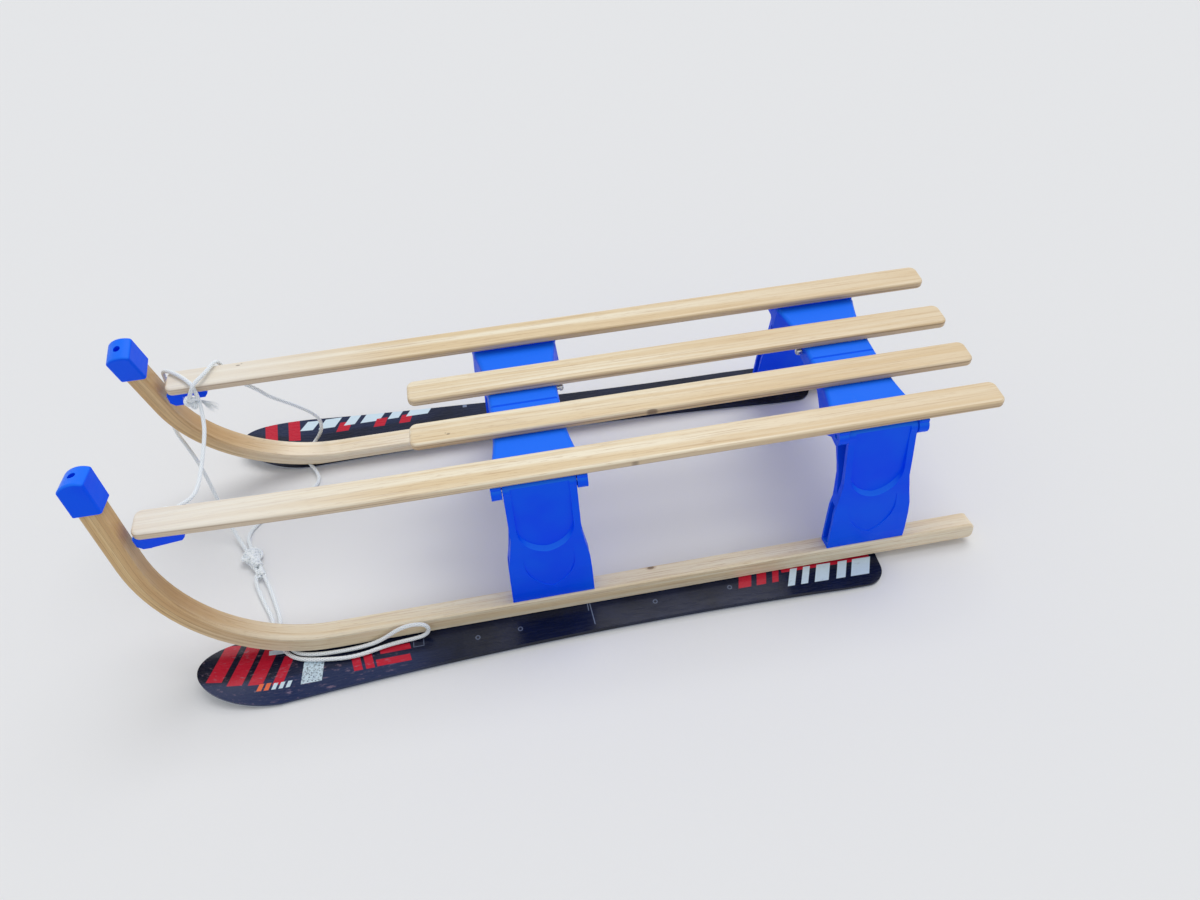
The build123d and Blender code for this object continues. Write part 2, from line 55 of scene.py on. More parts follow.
cam_data.sensor_width = 36.0
cam_data.lens = 26.68
cam_data.clip_start = 0.05
cam_data.clip_end = 50.0
camera = bpy.data.objects.new("camera", cam_data)
bpy.context.scene.collection.objects.link(camera)
axes = Matrix((CAM_RIGHT, CAM_UP, tuple(-c for c in CAM_FORWARD))).transposed()
camera.matrix_world = Matrix.Translation(CAM_PLACE) @ axes.to_4x4()
bpy.context.scene.camera = camera

# The rope, 5 mm braid: control points of each strand, in metres
ROPE_D = 0.005
ROUTES = {
    "bail": [
        (-0.4165, 0.0765, 0.2045), (-0.4165, 0.0755, 0.2), (-0.4155, 0.063, 0.189), (-0.414, 0.047, 0.1835),
        (-0.415, 0.029, 0.178), (-0.416, 0.007, 0.1735), (-0.4165, -0.015, 0.172), (-0.416, -0.037, 0.175),
        (-0.417, -0.054, 0.1815), (-0.42, -0.067, 0.189), (-0.4255, -0.0785, 0.1955)],
    "front": [
        (-0.4165, 0.0775, 0.203), (-0.4165, 0.079, 0.21), (-0.4175, 0.0815, 0.2175),
        (-0.4195, 0.0868, 0.2243), (-0.436, 0.106, 0.2234), (-0.451, 0.1175, 0.2236),
        (-0.4608, 0.1255, 0.2175), (-0.463, 0.1285, 0.205), (-0.468, 0.134, 0.182),
        (-0.4755, 0.1405, 0.157), (-0.4845, 0.1395, 0.133), (-0.484, 0.1275, 0.115), (-0.47, 0.108, 0.1),
        (-0.457, 0.086, 0.084), (-0.45, 0.069, 0.06), (-0.443, 0.05, 0.034), (-0.434, 0.03, 0.012),
        (-0.424, 0.011, 0.006), (-0.416, -0.003, 0.008)],
    "rear": [
        (-0.4285, 0.078, 0.206), (-0.4245, 0.0775, 0.213), (-0.42, 0.0775, 0.221), (-0.415, 0.0828, 0.228),
        (-0.405, 0.1, 0.2262), (-0.397, 0.123, 0.2238), (-0.394, 0.1285, 0.2165), (-0.3915, 0.1275, 0.205),
        (-0.387, 0.119, 0.2022), (-0.379, 0.1095, 0.203), (-0.368, 0.103, 0.199), (-0.357, 0.105, 0.186),
        (-0.346, 0.107, 0.168), (-0.333, 0.116, 0.148), (-0.321, 0.129, 0.122), (-0.313, 0.142, 0.097),
        (-0.311, 0.156, 0.07), (-0.316, 0.167, 0.043), (-0.3225, 0.173, 0.028), (-0.329, 0.1755, 0.017),
        (-0.335, 0.1735, 0.0112), (-0.34, 0.167, 0.0089), (-0.343, 0.156, 0.0082), (-0.3435, 0.145, 0.008),
        (-0.3405, 0.135, 0.0075), (-0.3355, 0.1275, 0.0072), (-0.331, 0.12, 0.0058),
        (-0.3285, 0.112, 0.0038), (-0.3295, 0.1025, 0.0028), (-0.337, 0.092, 0.0028),
        (-0.351, 0.0815, 0.0028), (-0.378, 0.066, 0.0028), (-0.4, 0.053, 0.0028), (-0.413, 0.039, 0.0028),
        (-0.4185, 0.025, 0.0034), (-0.415, 0.011, 0.006), (-0.41, -0.003, 0.008)],
    "loop": [
        (-0.393, -0.044, 0.007), (-0.39, -0.051, 0.007), (-0.386, -0.061, 0.0036), (-0.378, -0.084, 0.0028),
        (-0.37, -0.11, 0.0028), (-0.3675, -0.124, 0.0066), (-0.364, -0.134, 0.0092),
        (-0.357, -0.153, 0.0082), (-0.35, -0.1645, 0.008), (-0.337, -0.1714, 0.0081),
        (-0.319, -0.1746, 0.0085), (-0.295, -0.176, 0.0089), (-0.271, -0.176, 0.01),
        (-0.252, -0.1752, 0.0132), (-0.237, -0.1746, 0.021), (-0.226, -0.174, 0.029),
        (-0.213, -0.1734, 0.034), (-0.201, -0.1734, 0.0344), (-0.1915, -0.174, 0.0316),
        (-0.1875, -0.175, 0.023), (-0.1915, -0.1764, 0.0146), (-0.202, -0.1774, 0.0114),
        (-0.222, -0.1783, 0.0108), (-0.242, -0.1802, 0.0102), (-0.265, -0.1852, 0.0098),
        (-0.285, -0.1866, 0.0093), (-0.308, -0.1838, 0.0087), (-0.33, -0.1798, 0.0082),
        (-0.346, -0.1748, 0.008), (-0.358, -0.165, 0.008), (-0.366, -0.152, 0.0084),
        (-0.3725, -0.134, 0.0096), (-0.376, -0.124, 0.0068), (-0.379, -0.11, 0.0028),
        (-0.39, -0.086, 0.0028), (-0.399, -0.064, 0.0036), (-0.402, -0.052, 0.007),
        (-0.402, -0.0435, 0.007)],
}


def nurbs_line(points, closed=False):
    """The points along a smooth line, as Blender gives them for a NURBS curve with these control points."""
    curve = bpy.data.curves.new("route", "CURVE")
    curve.dimensions = "3D"
    curve.resolution_u = 24
    spline = curve.splines.new("NURBS")
    spline.points.add(len(points) - 1)
    for place, point in zip(spline.points, points):
        place.co = (*point, 1.0)
    spline.order_u = 3
    spline.use_endpoint_u = not closed
    spline.use_cyclic_u = closed
    holder = bpy.data.objects.new("route", curve)
    bpy.context.scene.collection.objects.link(holder)
    graph = bpy.context.evaluated_depsgraph_get()
    mesh = bpy.data.meshes.new_from_object(holder.evaluated_get(graph))
    line = np.array([v.co for v in mesh.vertices], float)
    bpy.data.objects.remove(holder)
    bpy.data.curves.remove(curve)
    bpy.data.meshes.remove(mesh)
    return line


# Braid: strands cross over and under each other in two directions round the rope. Lengths in metres
BRAID_AROUND = 6  # strands in each direction
BRAID_LAY = 0.0052  # along the rope, in which a strand moves round by its own width
BRAID_STEP = 0.00044  # between rings of the mesh
BRAID_CORNERS = 40  # of a ring
BRAID_DEPTH = 0.0008  # from the strands' tops to the bottom of their gaps
WEAVE_MEAN = 0.55
WEAVE_SWING = 0.45
WEAVE = "weave"  # name of the attribute that holds the strands' height, from 0 to 1
FIRST_SIDE = (0.3, 0.2, 0.93)  # slanted, so that no rope starts along it
SAME_PLACE = 1e-7
FEWEST_STEPS = 8


def even_line(line, step, closed):
    """Points at an even step along a line, and how far along it each one is."""
    if closed:
        line = np.vstack([line, line[:1]])
    gaps = np.linalg.norm(np.diff(line, axis=0), axis=1)
    line = np.vstack([line[:1], line[1:][gaps > SAME_PLACE]])
    gaps = gaps[gaps > SAME_PLACE]
    along = np.concatenate([[0.0], np.cumsum(gaps)])
    count = max(int(round(along[-1] / step)), FEWEST_STEPS)
    places = np.linspace(0.0, along[-1], count + 1)
    even = np.stack([np.interp(places, along, line[:, k]) for k in range(3)], axis=1)
    return (even[:-1], places[:-1]) if closed else (even, places)


def strand_height(phase, other, first):
    """Height of one direction's strands: round across each one, and over and under those that cross it."""
    crown = np.sqrt(np.clip(1 - (2 * (phase - np.floor(phase)) - 1) ** 2, 0, 1))
    swing = np.where(np.floor(phase) % 2 == 0, first, -first)
    return crown * (WEAVE_MEAN + WEAVE_SWING * swing * np.sin(math.pi * other))


def tube_faces(rings, corners, closed=False, base=0):
    """Faces of a tube through rings of corners, with its ends filled where it is open."""
    faces = []
    for i in range(rings if closed else rings - 1):
        low = base + i * corners
        high = base + (i + 1) % rings * corners
        for k in range(corners):
            after = (k + 1) % corners
            faces.append((low + k, low + after, high + after, high + k))
    if not closed:
        faces.append(tuple(range(base + corners - 1, base - 1, -1)))
        faces.append(tuple(range(base + (rings - 1) * corners, base + rings * corners)))
    return faces


def rope_piece(name, verts, faces, weave):
    """A smooth mesh piece of rope, with the depth of its weave kept as an attribute."""
    mesh = bpy.data.meshes.new(name)
    mesh.from_pydata([tuple(v) for v in verts], [], faces)
    mesh.validate()
    mesh.materials.append(rope_white.material)
    mesh.shade_smooth()
    keep = mesh.attributes.new(WEAVE, "FLOAT", "POINT")
    keep.data.foreach_set("value", weave.astype(np.float32))
    piece = bpy.data.objects.new(name, mesh)
    bpy.context.scene.collection.objects.link(piece)
    return piece


def braided(name, line, closed=False, step=BRAID_STEP):
    """A braided rope along a line, as one closed mesh."""
    line, along = even_line(line, step, closed)
    if closed:
        forward = np.roll(line, -1, axis=0) - np.roll(line, 1, axis=0)
    else:
        forward = np.gradient(line, axis=0)
    forward = forward / np.linalg.norm(forward, axis=1)[:, None]
    side = np.cross(forward[0], FIRST_SIDE)
    side = side / np.linalg.norm(side)
    sides = np.zeros_like(line)
    for i, ahead in enumerate(forward):
        side = side - ahead * np.dot(side, ahead)
        side = side / np.linalg.norm(side)
        sides[i] = side
    ups = np.cross(forward, sides)
    angle, run = np.meshgrid(np.linspace(0.0, 2 * math.pi, BRAID_CORNERS, endpoint=False), along)
    lay = BRAID_LAY
    if closed:
        whole = along[-1] + step
        lay = whole / max(2 * round(whole / BRAID_LAY / 2), 2)
    around = BRAID_AROUND * angle / (2 * math.pi)
    height = np.maximum(strand_height(around + run / lay, around - run / lay, 1),
                        strand_height(around - run / lay, around + run / lay, -1))
    radius = ROPE_D / 2 - BRAID_DEPTH + BRAID_DEPTH * height
    outward = np.cos(angle)[:, :, None] * sides[:, None, :] + np.sin(angle)[:, :, None] * ups[:, None, :]
    verts = (line[:, None, :] + radius[:, :, None] * outward).reshape(-1, 3)
    return rope_piece(name, verts, tube_faces(len(line), BRAID_CORNERS, closed), height.reshape(-1))


# Materials


class Paint:
    """A node material built by short calls. Its place and normal are in the frame of the part at rest."""

    def __init__(self, name, color=(0.5, 0.5, 0.5), roughness=0.5, metallic=0.0, coat=0.0,
                 coat_roughness=0.03, specular=0.5):
        self.material = bpy.data.materials.new(name)
        self.material.use_nodes = True
        self.tree = self.material.node_tree
        self.bsdf = self.tree.nodes["Principled BSDF"]
        self.bsdf.inputs["Base Color"].default_value = (*color, 1)
        self.bsdf.inputs["Roughness"].default_value = roughness
        self.bsdf.inputs["Metallic"].default_value = metallic
        self.bsdf.inputs["Coat Weight"].default_value = coat
        self.bsdf.inputs["Coat Roughness"].default_value = coat_roughness
        self.bsdf.inputs["Specular IOR Level"].default_value = specular
        coords = self.tree.nodes.new("ShaderNodeTexCoord")
        self.place = coords.outputs["Object"]
        self.normal = coords.outputs["Normal"]

    def feed(self, socket, value):
        if isinstance(value, bpy.types.NodeSocket):
            self.tree.links.new(value, socket)
        else:
            socket.default_value = value

    def math(self, operation, a, b=0.0, c=0.0):
        made = self.tree.nodes.new("ShaderNodeMath")
        made.operation = operation
        for socket, value in zip(made.inputs, (a, b, c)):
            self.feed(socket, value)
        return made.outputs[0]

    def plus(self, a, b):
        return self.math("ADD", a, b)

    def minus(self, a, b):
        return self.math("SUBTRACT", a, b)

    def times(self, a, b):
        return self.math("MULTIPLY", a, b)

    def over(self, a, b):
        return self.math("DIVIDE", a, b)

    def linear(self, a, slope, start):
        return self.math("MULTIPLY_ADD", a, slope, start)

    def largest(self, a, b):
        return self.math("MAXIMUM", a, b)

    def smallest(self, a, b):
        return self.math("MINIMUM", a, b)

    def gap(self, a, b):
        """How far two values are apart."""
        return self.math("ABSOLUTE", self.minus(a, b))

    def square_sum(self, a, b):
        return self.plus(self.times(a, a), self.times(b, b))

    def above(self, a, limit):
        """1 where a value is above a limit, 0 elsewhere."""
        return self.math("GREATER_THAN", a, limit)

    def choose(self, flag, yes, no):
        """One value where a flag is 1, another where it is 0."""
        return self.plus(self.times(flag, yes), self.times(self.minus(1.0, flag), no))

    def spin(self, a, b, cosine, sine):
        """Two coordinates turned by an angle, given by its cosine and sine."""
        first = self.plus(self.times(a, cosine), self.times(b, sine))
        second = self.minus(self.times(b, cosine), self.times(a, sine))
        return first, second

    def vector(self, x, y, z):
        made = self.tree.nodes.new("ShaderNodeCombineXYZ")
        for socket, value in zip(made.inputs, (x, y, z)):
            self.feed(socket, value)
        return made.outputs[0]

    def split(self, vector):
        made = self.tree.nodes.new("ShaderNodeSeparateXYZ")
        self.feed(made.inputs[0], vector)
        return tuple(made.outputs)

    def scaled(self, scale):
        """The place on the surface, with each axis scaled by its own number."""
        made = self.tree.nodes.new("ShaderNodeVectorMath")
        made.operation = "MULTIPLY"
        self.feed(made.inputs[0], self.place)
        made.inputs[1].default_value = scale
        return made.outputs[0]

    def attribute(self, name):
        made = self.tree.nodes.new("ShaderNodeAttribute")
        made.attribute_name = name
        return made.outputs["Fac"]

    def noise(self, vector, scale, detail, rough, distortion=0.0):
        made = self.tree.nodes.new("ShaderNodeTexNoise")
        self.feed(made.inputs["Vector"], vector)
        made.inputs["Scale"].default_value = scale
        made.inputs["Detail"].default_value = detail
        made.inputs["Roughness"].default_value = rough
        made.inputs["Distortion"].default_value = distortion
        return made.outputs["Fac"]

    def ramp(self, factor, low, high, low_value=0.0, high_value=1.0):
        """A smooth step from one value to another between two levels of a factor."""
        made = self.tree.nodes.new("ShaderNodeMapRange")
        made.interpolation_type = "SMOOTHSTEP"
        for socket, value in zip(made.inputs, (factor, low, high, low_value, high_value)):
            self.feed(socket, value)
        return made.outputs[0]

    def mix(self, factor, a, b):
        made = self.tree.nodes.new("ShaderNodeMix")
        made.data_type = "RGBA"
        self.feed(made.inputs[0], factor)
        self.feed(made.inputs[6], a if isinstance(a, bpy.types.NodeSocket) else (*a, 1))
        self.feed(made.inputs[7], b if isinstance(b, bpy.types.NodeSocket) else (*b, 1))
        return made.outputs[2]

    def tint(self, tone, color, mask, strength):
        """Another colour laid over a tone where a mask says."""
        return self.mix(self.times(mask, strength), tone, color)

    def color(self, socket):
        self.feed(self.bsdf.inputs["Base Color"], socket)

    def rough(self, socket):
        self.feed(self.bsdf.inputs["Roughness"], socket)

    def bump(self, height, distance, strength, after=None):
        made = self.tree.nodes.new("ShaderNodeBump")
        made.inputs["Strength"].default_value = strength
        made.inputs["Distance"].default_value = distance
        self.feed(made.inputs["Height"], height)
        if after is not None:
            self.feed(made.inputs["Normal"], after)
        self.feed(self.bsdf.inputs["Normal"], made.outputs[0])
        return made.outputs[0]


def srgb(red, green, blue):
    """Linear colour from its 0 to 255 screen values."""
    screen = (red / 255, green / 255, blue / 255)
    return tuple(c / 12.92 if c <= 0.04045 else ((c + 0.055) / 1.055) ** 2.4 for c in screen)


def grain(paint, where, seed, scales, detail, rough, distortion=0.0):
    """Noise drawn out along the wood. where is the place along it, across it and into it."""
    along, across, depth = where
    stretched = paint.vector(paint.linear(along, scales[0], seed), paint.times(across, scales[1]),
                             paint.times(depth, scales[2]))
    return paint.noise(stretched, 1.0, detail, rough, distortion)


def wood_tone(paint, where, seed, tones):
    """Straight grain of a pale, a warm and a dark tone: broad streaks, fine fibres and short dark pores."""
    pale, warm, dark = tones
    broad = grain(paint, where, seed, (1.3, 70.0, 110.0), 5.0, 0.6, 0.35)
    fine = grain(paint, where, seed, (9.0, 520.0, 520.0), 3.0, 0.6)
    pores = grain(paint, where, seed, (60.0, 1500.0, 1500.0), 2.0, 0.5)
    tone = paint.mix(paint.ramp(broad, 0.38, 0.62), pale, warm)
    tone = paint.tint(tone, dark, paint.ramp(fine, 0.5, 0.72), 0.55)
    tone = paint.tint(tone, dark, paint.ramp(pores, 0.6, 0.72), 0.55)
    return tone, fine, pores


def wood_surface(paint, fine, pores, smoothest, roughest):
    """Gloss and relief that follow the fibres and pores."""
    paint.rough(paint.ramp(fine, 0.3, 0.8, smoothest, roughest))
    first = paint.bump(fine, 0.00012, 0.6)
    paint.bump(pores, 0.00008, 0.5, first)


def from_spot(paint, x, y, spot):
    """Square of the distance from a spot's middle, counted in its half length and half width."""
    middle_x, middle_y, half_x, half_y = spot
    return paint.square_sum(paint.over(paint.minus(x, middle_x), half_x),
                            paint.over(paint.minus(y, middle_y), half_y))


# Slats: pale varnished hardwood, bleached in front and yellower behind; the sawn sides are darker and
# browner, which is painted shade
SLAT_TONES = (srgb(240, 229, 204), srgb(221, 197, 156), srgb(178, 140, 96))
BLEACHED = srgb(238, 236, 231)
AGED = srgb(208, 176, 130)
SAWN_SIDE_PAINTED_SHADE = srgb(190, 156, 112)
SAWN_LAYER = srgb(120, 84, 50)
SLAT_MARK = srgb(86, 58, 36)
# Small dark knots and nicks: middle along X and Y, half length and half width in metres, and strength
SLAT_MARKS = [
    (-0.3695, 0.1145, 0.0030, 0.0011, 0.7), (-0.3655, 0.1165, 0.0014, 0.0008, 0.45),
    (-0.1264, -0.0505, 0.0022, 0.0011, 0.75), (-0.1295, -0.0485, 0.0010, 0.0007, 0.5),
    (0.0695, -0.1372, 0.0070, 0.0015, 0.75), (0.1055, -0.0606, 0.0070, 0.0015, 0.7),
]
slat_wood = Paint("slat wood", coat=0.25, coat_roughness=0.3)
p = slat_wood
x, y, z = p.split(p.place)
tone, fine, pores = wood_tone(p, (x, y, z), seed=3.1, tones=SLAT_TONES)
tone = p.tint(tone, BLEACHED, p.ramp(x, -0.12, -0.4), 0.6)
tone = p.tint(tone, AGED, p.ramp(x, 0.0, 0.38), 0.45)
# Painted shade: the sides are tinted darker and browner than the upward top
on_side = p.ramp(p.math("ABSOLUTE", p.split(p.normal)[2]), 0.75, 0.3)
tone = p.tint(tone, SAWN_SIDE_PAINTED_SHADE, on_side, 0.5)
layers = p.noise(p.vector(p.times(x, 2.2), 0.0, p.times(z, 420.0)), 1.0, 2.0, 0.5)
tone = p.tint(tone, SAWN_LAYER, p.times(on_side, p.ramp(layers, 0.5, 0.62)), 0.5)
for *spot, strength in SLAT_MARKS:
    tone = p.tint(tone, SLAT_MARK, p.ramp(from_spot(p, x, y, spot), 1.3, 0.3), strength)
p.color(tone)
wood_surface(p, fine, pores, 0.36, 0.52)

# Runners: bent from layers of wood, so that grain and layers follow the bend. Lengths in metres
MIDDLE_Y = -0.007
LEAN = math.radians(10.57)
RUNNER_Y = 0.1518  # from the seat's middle to the middle of the runner's sole
RUNNER_Z = 0.0067  # height of that sole
RUNNER_T = 0.022
BEND_X = {"near": -0.299, "far": -0.2945}
BEND_R = 0.188  # of the sole
BEND_TURN = math.radians(84.8)
LAYER_T = 0.0055
SKIN = 0.001  # the least depth below either face at which the layers are read
# The straight run is paler than the golden, varnished curl: partly the wood's own tone, partly painted
# light where its top faces up
STRAIGHT_TONES = (srgb(240, 230, 207), srgb(230, 211, 176), srgb(186, 148, 102))
CURLED_TONES = (srgb(223, 193, 141), srgb(206, 168, 111), srgb(140, 98, 54))
LAYER_TONE = srgb(186, 140, 88)
GLUE = srgb(112, 70, 36)
KNOT_RING = srgb(176, 136, 92)
KNOT_DARK = srgb(92, 62, 38)
RUNNER_KNOT = (0.0865, -0.1462, 0.0048, 0.0026)  # middle, half length and half width
runner_wood = Paint("runner wood", coat=0.35, coat_roughness=0.22)
p = runner_wood
x, y, z = p.split(p.place)
is_far = p.above(y, MIDDLE_Y)
bend_x = p.linear(is_far, BEND_X["far"] - BEND_X["near"], BEND_X["near"])
y_in = p.minus(p.gap(y, MIDDLE_Y), RUNNER_Y)
z_in = p.minus(z, RUNNER_Z)
across, upright = p.spin(y_in, z_in, math.cos(LEAN), math.sin(LEAN))
from_x = p.minus(bend_x, x)
from_z = p.minus(BEND_R, upright)
radius = p.math("SQRT", p.square_sum(from_x, from_z))
end_radius, past_end = p.spin(from_z, from_x, math.cos(BEND_TURN), math.sin(BEND_TURN))
in_end = p.above(past_end, 0.0)
in_bend = p.above(from_x, 0.0)
bend_depth = p.minus(BEND_R, p.choose(in_end, end_radius, radius))
depth = p.smallest(p.largest(p.choose(in_bend, bend_depth, upright), SKIN), RUNNER_T - SKIN)
turned = p.smallest(p.math("ARCTAN2", from_x, from_z), BEND_TURN)
bend_along = p.plus(p.times(turned, BEND_R), p.largest(past_end, 0.0))
along = p.choose(in_bend, p.minus(bend_x, bend_along), x)
in_curl = p.ramp(turned, 0.25, 1.15)
tones = [p.mix(in_curl, straight, curled) for straight, curled in zip(STRAIGHT_TONES, CURLED_TONES)]
tone, fine, pores = wood_tone(p, (along, across, depth), seed=7.7, tones=tones)
in_layers = p.over(depth, LAYER_T)
shade = p.noise(p.vector(p.math("FLOOR", in_layers), p.times(along, 0.6), 2.5), 3.7, 1.0, 0.5)
tone = p.tint(tone, LAYER_TONE, p.ramp(shade, 0.35, 0.65), p.linear(in_curl, 0.3, 0.15))
glue_line = p.ramp(p.gap(p.math("FRACT", in_layers), 0.5), 0.455, 0.49)
tone = p.tint(tone, GLUE, glue_line, p.linear(in_curl, 0.4, 0.15))
# A knot in the near runner's top, with a paler ring
away = from_spot(p, x, y, RUNNER_KNOT)
tone = p.tint(tone, KNOT_RING, p.ramp(away, 3.2, 1.2), 0.4)
tone = p.tint(tone, KNOT_DARK, p.ramp(away, 1.2, 0.4), 0.8)
p.color(tone)
wood_surface(p, fine, pores, 0.32, 0.5)

# Moulded plastic: clouded, with a painted sheen where it faces up, faint rubs and a fine grit
BLUE = srgb(0, 75, 255)
BLUE_CLOUD = srgb(0, 89, 255)
BLUE_PAINTED_SHEEN = srgb(28, 114, 255)
BLUE_RUB = srgb(84, 132, 240)
blue = Paint("blue plastic", specular=0.1)
p = blue
clouds = p.noise(p.place, 9.0, 3.0, 0.6)
grit = p.noise(p.place, 900.0, 2.0, 0.5)
rubs = p.noise(p.scaled((30.0, 30.0, 140.0)), 1.0, 4.0, 0.7)
tone = p.mix(p.ramp(clouds, 0.35, 0.65), BLUE, BLUE_CLOUD)
# Painted sheen: faces that point up are made a lighter blue, as if lit from above and reflecting the sky
tone = p.mix(p.ramp(p.split(p.normal)[2], 0.3, 0.75), tone, BLUE_PAINTED_SHEEN)
tone = p.tint(tone, BLUE_RUB, p.ramp(rubs, 0.68, 0.8), 0.2)
p.color(tone)
p.rough(p.ramp(rubs, 0.4, 0.75, 0.34, 0.5))
p.bump(grit, 0.00009, 0.5)

# Skis: dark glossy film with fine scratches, printed with plain coloured bars and patches, and a metal edge
# along the sole. Lengths in metres
SKI_TURN = math.radians(1.45)  # of the far ski, as are the next two
SKI_BACK = 0.017
SKI_OUT = 0.005
TIP_RISE_X = -0.355
TIP_RISE_R = 0.255
EDGE_FADE = (0.0024, 0.0018)  # heights above the sole between which the metal edge fades in
FILM = srgb(9, 16, 37)
FILM_HAZE = srgb(21, 30, 60)
SHOULDER_PAINTED_SHEEN = srgb(34, 46, 82)
SCRATCH = srgb(110, 124, 150)
SCUFF = srgb(206, 172, 192)
METAL = srgb(168, 174, 184)
RED = srgb(190, 26, 52)
WHITE = srgb(206, 226, 238)
ORANGE = srgb(232, 112, 70)
PALE = srgb(120, 132, 158)
# Places on the skis in millimetres, along X and out from the seat's middle, as if each ski lay along X.
# Each print: ski, colour, middle and half length, middle and half width, slant, and wear from 0 to 1
MM = 1000.0
PRINT_EDGE = 0.3  # half width of a print's soft border
FLAKED = 0.7  # a print more worn than this has flaked, the others are rubbed
PRINTS = [
    ("near", RED, -427, 8, 163, 24, 0.35, 0.35), ("near", RED, -405, 8, 166, 26, 0.35, 0.35),
    ("near", RED, -383, 8, 168, 25, 0.35, 0.35), ("near", RED, -361, 6, 178, 18, 0.35, 0.35),
    ("near", ORANGE, -386, 2.6, 197, 4.5, 0.35, 0.5), ("near", ORANGE, -378, 2.6, 197, 4.5, 0.35, 0.5),
    ("near", WHITE, -370, 2.4, 197.5, 4, 0.35, 0.6), ("near", WHITE, -362, 2.4, 197.5, 4, 0.35, 0.6),
    ("near", WHITE, -354, 2.4, 197.5, 4, 0.35, 0.6),
    ("near", WHITE, -368, 11, 153, 3, 0.0, 0.1), ("near", WHITE, -327, 12, 186, 15, 0.1, 1.0),
    ("near", RED, -276, 5, 187, 10, -0.2, 0.4), ("near", RED, -262, 5, 187, 10, -0.2, 0.4),
    ("near", RED, -231, 18, 177, 4, -0.2, 0.3), ("near", RED, -233, 20, 192, 4.5, -0.2, 0.3),
    ("near", RED, 199, 8, 170, 9, 0.3, 0.3), ("near", RED, 220, 6, 170, 9, 0.3, 0.3),
    ("near", RED, 238, 4, 170, 9, 0.3, 0.3), ("near", RED, 305, 58, 163, 4.5, 0.0, 0.3),
    ("near", WHITE, 258, 4.5, 176, 12, 0.45, 0.15), ("near", WHITE, 275, 4.5, 176, 12, 0.45, 0.15),
    ("near", WHITE, 297, 9, 176, 12, 0.45, 0.15), ("near", WHITE, 322, 6, 176, 12, 0.45, 0.15),
    ("near", WHITE, 347, 12, 176, 12, 0.45, 0.15),
    ("far", RED, -419, 8, 201, 22, 0.1, 0.2), ("far", RED, -388, 8, 201, 22, 0.1, 0.2),
    ("far", WHITE, -366, 9, 207, 9, -0.55, 0.0), ("far", WHITE, -337, 12, 207, 9, -0.55, 0.0),
    ("far", RED, -316, 9, 196, 9, -0.3, 0.2), ("far", WHITE, -304, 8, 207, 9, -0.55, 0.0),
    ("far", WHITE, -274, 14, 207, 9, -0.55, 0.0), ("far", RED, -263, 8, 194, 8, -0.3, 0.2),
    ("far", WHITE, -240, 8, 207, 9, -0.55, 0.0), ("far", RED, -226, 8, 194, 8, -0.3, 0.2),
    ("far", WHITE, -205, 16, 207, 9, -0.55, 0.0),
    ("far", PALE, -139, 3, 202, 2.5, 0.0, 0.0),
    ("near", PALE, 6, 0.5, 177, 16, -0.05, 0.0), ("near", PALE, 2.4, 0.5, 167, 6, 0.0, 0.0),
]
# Screw plugs on the near ski: place, and the radius of all
PLUGS = [(-133, 183), (-82, 181.5), (84, 176.5), (178, 175)]
PLUG_R = 2.4
# A small square outline on the near ski: place and half side
SQUARE = (-203.0, 174.0)
SQUARE_HALF = 6.0
ski_top = Paint("ski top", coat=0.07, coat_roughness=0.14, specular=0.16)
p = ski_top
x, y, z = p.split(p.place)
is_far = p.above(y, MIDDLE_Y)
is_near = p.minus(1.0, is_far)
turn = p.times(is_far, SKI_TURN)
run = p.minus(x, p.times(is_far, SKI_BACK))
out = p.minus(p.gap(y, MIDDLE_Y), p.times(is_far, SKI_OUT))
ski_y, ski_x = p.spin(out, run, p.math("COSINE", turn), p.math("SINE", turn))
ski_x = p.times(ski_x, MM)
ski_y = p.times(ski_y, MM)
facing_up = p.split(p.normal)[2]
upward = p.ramp(facing_up, 0.5, 0.7)
near_top = p.times(upward, is_near)
haze = p.noise(p.place, 12.0, 4.0, 0.6)
scratch = p.noise(p.scaled((60.0, 500.0, 500.0)), 1.0, 3.0, 0.6)
chips = p.noise(p.scaled((420.0, 520.0, 520.0)), 1.0, 3.0, 0.75)
smears = p.noise(p.scaled((90.0, 300.0, 300.0)), 1.0, 4.0, 0.7)
tone = p.mix(p.ramp(haze, 0.35, 0.7), FILM, FILM_HAZE)
# Painted reflection: a lighter blue band along the outer shoulder toward the tip, stronger on the near ski
shoulder_sheen_mask = p.times(p.ramp(ski_y, 184.0, 192.0), p.ramp(ski_x, -150.0, -240.0))
tone = p.tint(tone, SHOULDER_PAINTED_SHEEN, shoulder_sheen_mask, p.linear(is_far, -0.4, 1.0))
tone = p.tint(tone, SCRATCH, p.ramp(scratch, 0.7, 0.8), 0.25)
for ski, color, mid_x, half_x, mid_y, half_y, slant, wear in PRINTS:
    slanted = p.linear(p.minus(ski_y, mid_y), slant, ski_x)
    off_x = p.minus(p.gap(slanted, mid_x), half_x)
    off_y = p.minus(p.gap(ski_y, mid_y), half_y)
    mask = p.ramp(p.largest(off_x, off_y), PRINT_EDGE, -PRINT_EDGE)
    mask = p.times(p.times(mask, is_far if ski == "far" else is_near), upward)
    if wear > FLAKED:
        mask = p.times(mask, p.ramp(chips, 0.3, 0.56))
    elif wear > 0:
        mask = p.times(mask, p.minus(1.0, p.times(p.ramp(smears, 0.58, 0.68), wear)))
    tone = p.mix(mask, tone, color)
scuffs = p.times(p.ramp(smears, 0.56, 0.72), p.ramp(ski_x, -180.0, -260.0))
tone = p.tint(tone, SCUFF, p.times(scuffs, near_top), 0.3)
